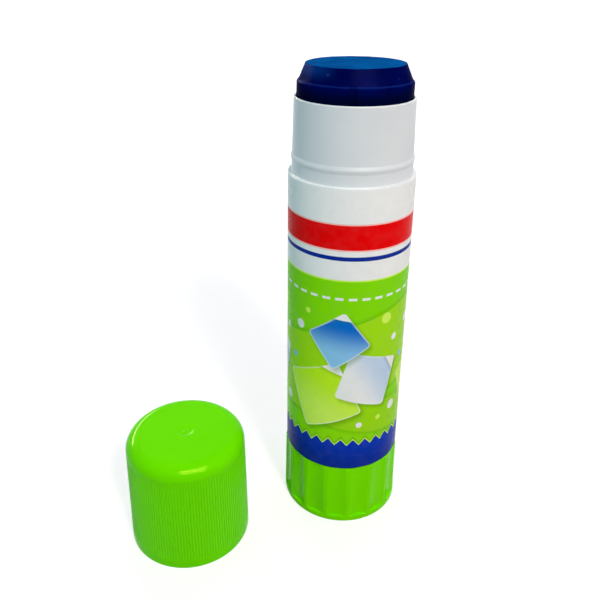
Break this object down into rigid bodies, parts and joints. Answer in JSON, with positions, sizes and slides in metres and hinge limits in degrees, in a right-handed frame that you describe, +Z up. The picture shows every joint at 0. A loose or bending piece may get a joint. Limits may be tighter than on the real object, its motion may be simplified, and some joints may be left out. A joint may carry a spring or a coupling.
{
  "type": "glue stick",
  "caption": "Twist-up glue stick with tapered neck, label sleeve, fluted twist knob, lead screw and carrier, its round ribbed cap stood beside it.",
  "frame": {"origin": "centre of the twist knob's flat base, on the surface it stands on", "axes": "+Z up along the stick's axis, towards the glue tip; the cap taken off stands towards -X"},
  "size_m": [0.0731, 0.0304, 0.1161],
  "materials": {
    "knob_plastic": "gloss",
    "cap_plastic": "gloss",
    "barrel_plastic": "satin",
    "screw_plastic": "satin",
    "carrier_plastic": "satin",
    "label_film": "gloss",
    "glue": "waxy"
  },
  "bodies": {
    "barrel": {"barrel": "barrel_plastic", "label_sleeve": "label_film"},
    "knob": {"twist_knob": "knob_plastic", "lead_screw": "screw_plastic"},
    "carriage": {"carrier": "carrier_plastic", "glue_block": "glue"},
    "cap": {"cap": "cap_plastic"}
  },
  "joints": [
    {"name": "knob_twist", "type": "hinge", "parent": "barrel", "child": "knob", "pos_m": [0, 0, 0], "axis": [0, 0, 1], "range_deg": [-506.3, 3144.5]},
    {"name": "carriage_slide", "type": "slide", "parent": "barrel", "child": "carriage", "axis": [0, 0, 1], "range_m": [-0.009, 0.0559]},
    {"name": "cap_lift", "type": "slide", "parent": "barrel", "child": "cap", "axis": [0, 0, 1], "range_m": [0, 0.12]}
  ],
  "couplings": [
    {"joint": "knob_twist", "follows": "carriage_slide", "rad_per_m": 981.75}
  ]
}
